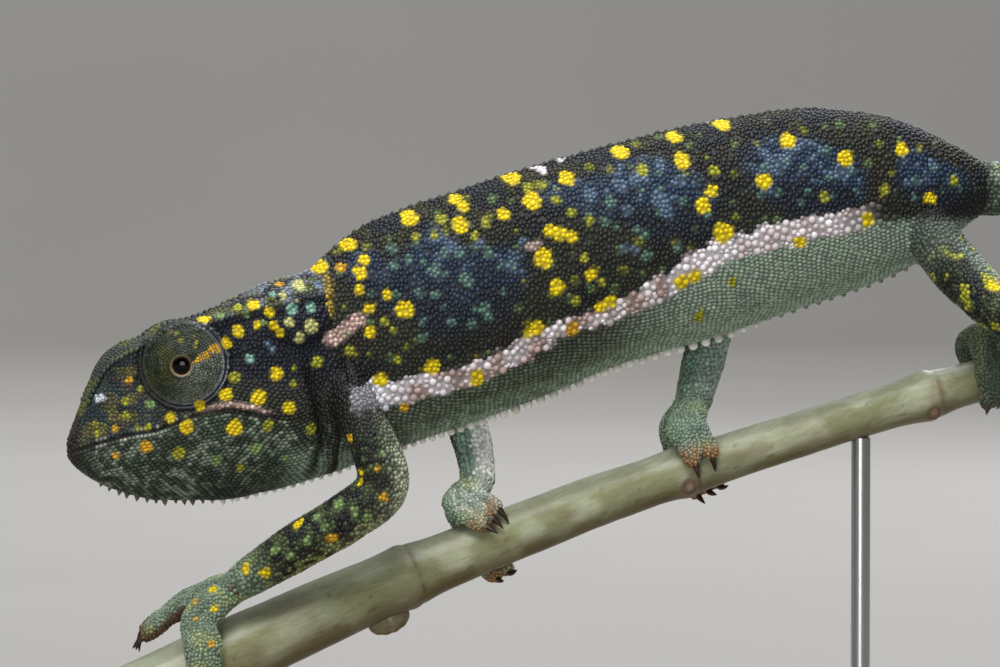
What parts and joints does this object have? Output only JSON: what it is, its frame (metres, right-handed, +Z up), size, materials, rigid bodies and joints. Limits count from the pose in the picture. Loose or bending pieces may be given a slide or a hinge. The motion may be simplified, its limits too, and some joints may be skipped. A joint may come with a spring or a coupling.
{
  "type": "chameleon",
  "caption": "Life-size flap-necked chameleon walking down a curved twig, one forefoot lifted and the tail coiled, on a plain stand with two rods.",
  "frame": {"origin": "middle of the stand base's underside, on the floor", "axes": "+X from the head towards the tail along the perch, +Y to the animal's right side, +Z up"},
  "size_m": [0.24, 0.11, 0.133],
  "materials": {
    "skin": "dry reptile skin, blue-black and dark green with yellow spots and a broken white stripe",
    "turret": "fused eyelid with fine rings of granules, dark olive green",
    "eyeball": "wet black pupil behind a clear cornea",
    "claw": "dark brown horn, satin",
    "bark": "smooth green young bark with brown scars",
    "walnut": "oiled dark wood, satin",
    "steel": "brushed"
  },
  "bodies": {
    "root": {"claw_front_left_inner_1": "claw", "claw_front_left_inner_2": "claw", "claw_front_left_inner_3": "claw", "claw_front_left_outer_1": "claw", "claw_front_left_outer_2": "claw", "claw_front_right_inner_1": "claw", "claw_front_right_inner_2": "claw", "claw_front_right_inner_3": "claw", "claw_front_right_outer_1": "claw", "claw_front_right_outer_2": "claw", "claw_hind_left_inner_1": "claw", "claw_hind_left_inner_2": "claw", "claw_hind_left_outer_1": "claw", "claw_hind_left_outer_2": "claw", "claw_hind_left_outer_3": "claw", "claw_hind_right_inner_1": "claw", "claw_hind_right_inner_2": "claw", "claw_hind_right_outer_1": "claw", "claw_hind_right_outer_2": "claw", "claw_hind_right_outer_3": "claw", "eye_left": "turret", "eye_right": "turret", "eyeball_left": "eyeball", "eyeball_right": "eyeball", "flap_left": "skin", "flap_right": "skin", "foot_front_left_inner": "skin", "foot_front_left_outer": "skin", "foot_front_right_inner": "skin", "foot_front_right_outer": "skin", "foot_hind_left_inner": "skin", "foot_hind_left_outer": "skin", "foot_hind_right_inner": "skin", "foot_hind_right_outer": "skin", "head_upper": "skin", "leg_front_left_lower": "skin", "leg_front_left_upper": "skin", "leg_front_right_lower": "skin", "leg_front_right_upper": "skin", "leg_hind_left_lower": "skin", "leg_hind_left_upper": "skin", "leg_hind_right_lower": "skin", "leg_hind_right_upper": "skin", "lower_jaw": "skin", "neck": "skin", "perch": "bark", "stand_base": "walnut", "stand_rod_front": "steel", "stand_rod_rear": "steel", "tail_base": "skin", "tail_middle": "skin", "tail_tip": "skin", "trunk": "skin"}
  },
  "joints": []
}
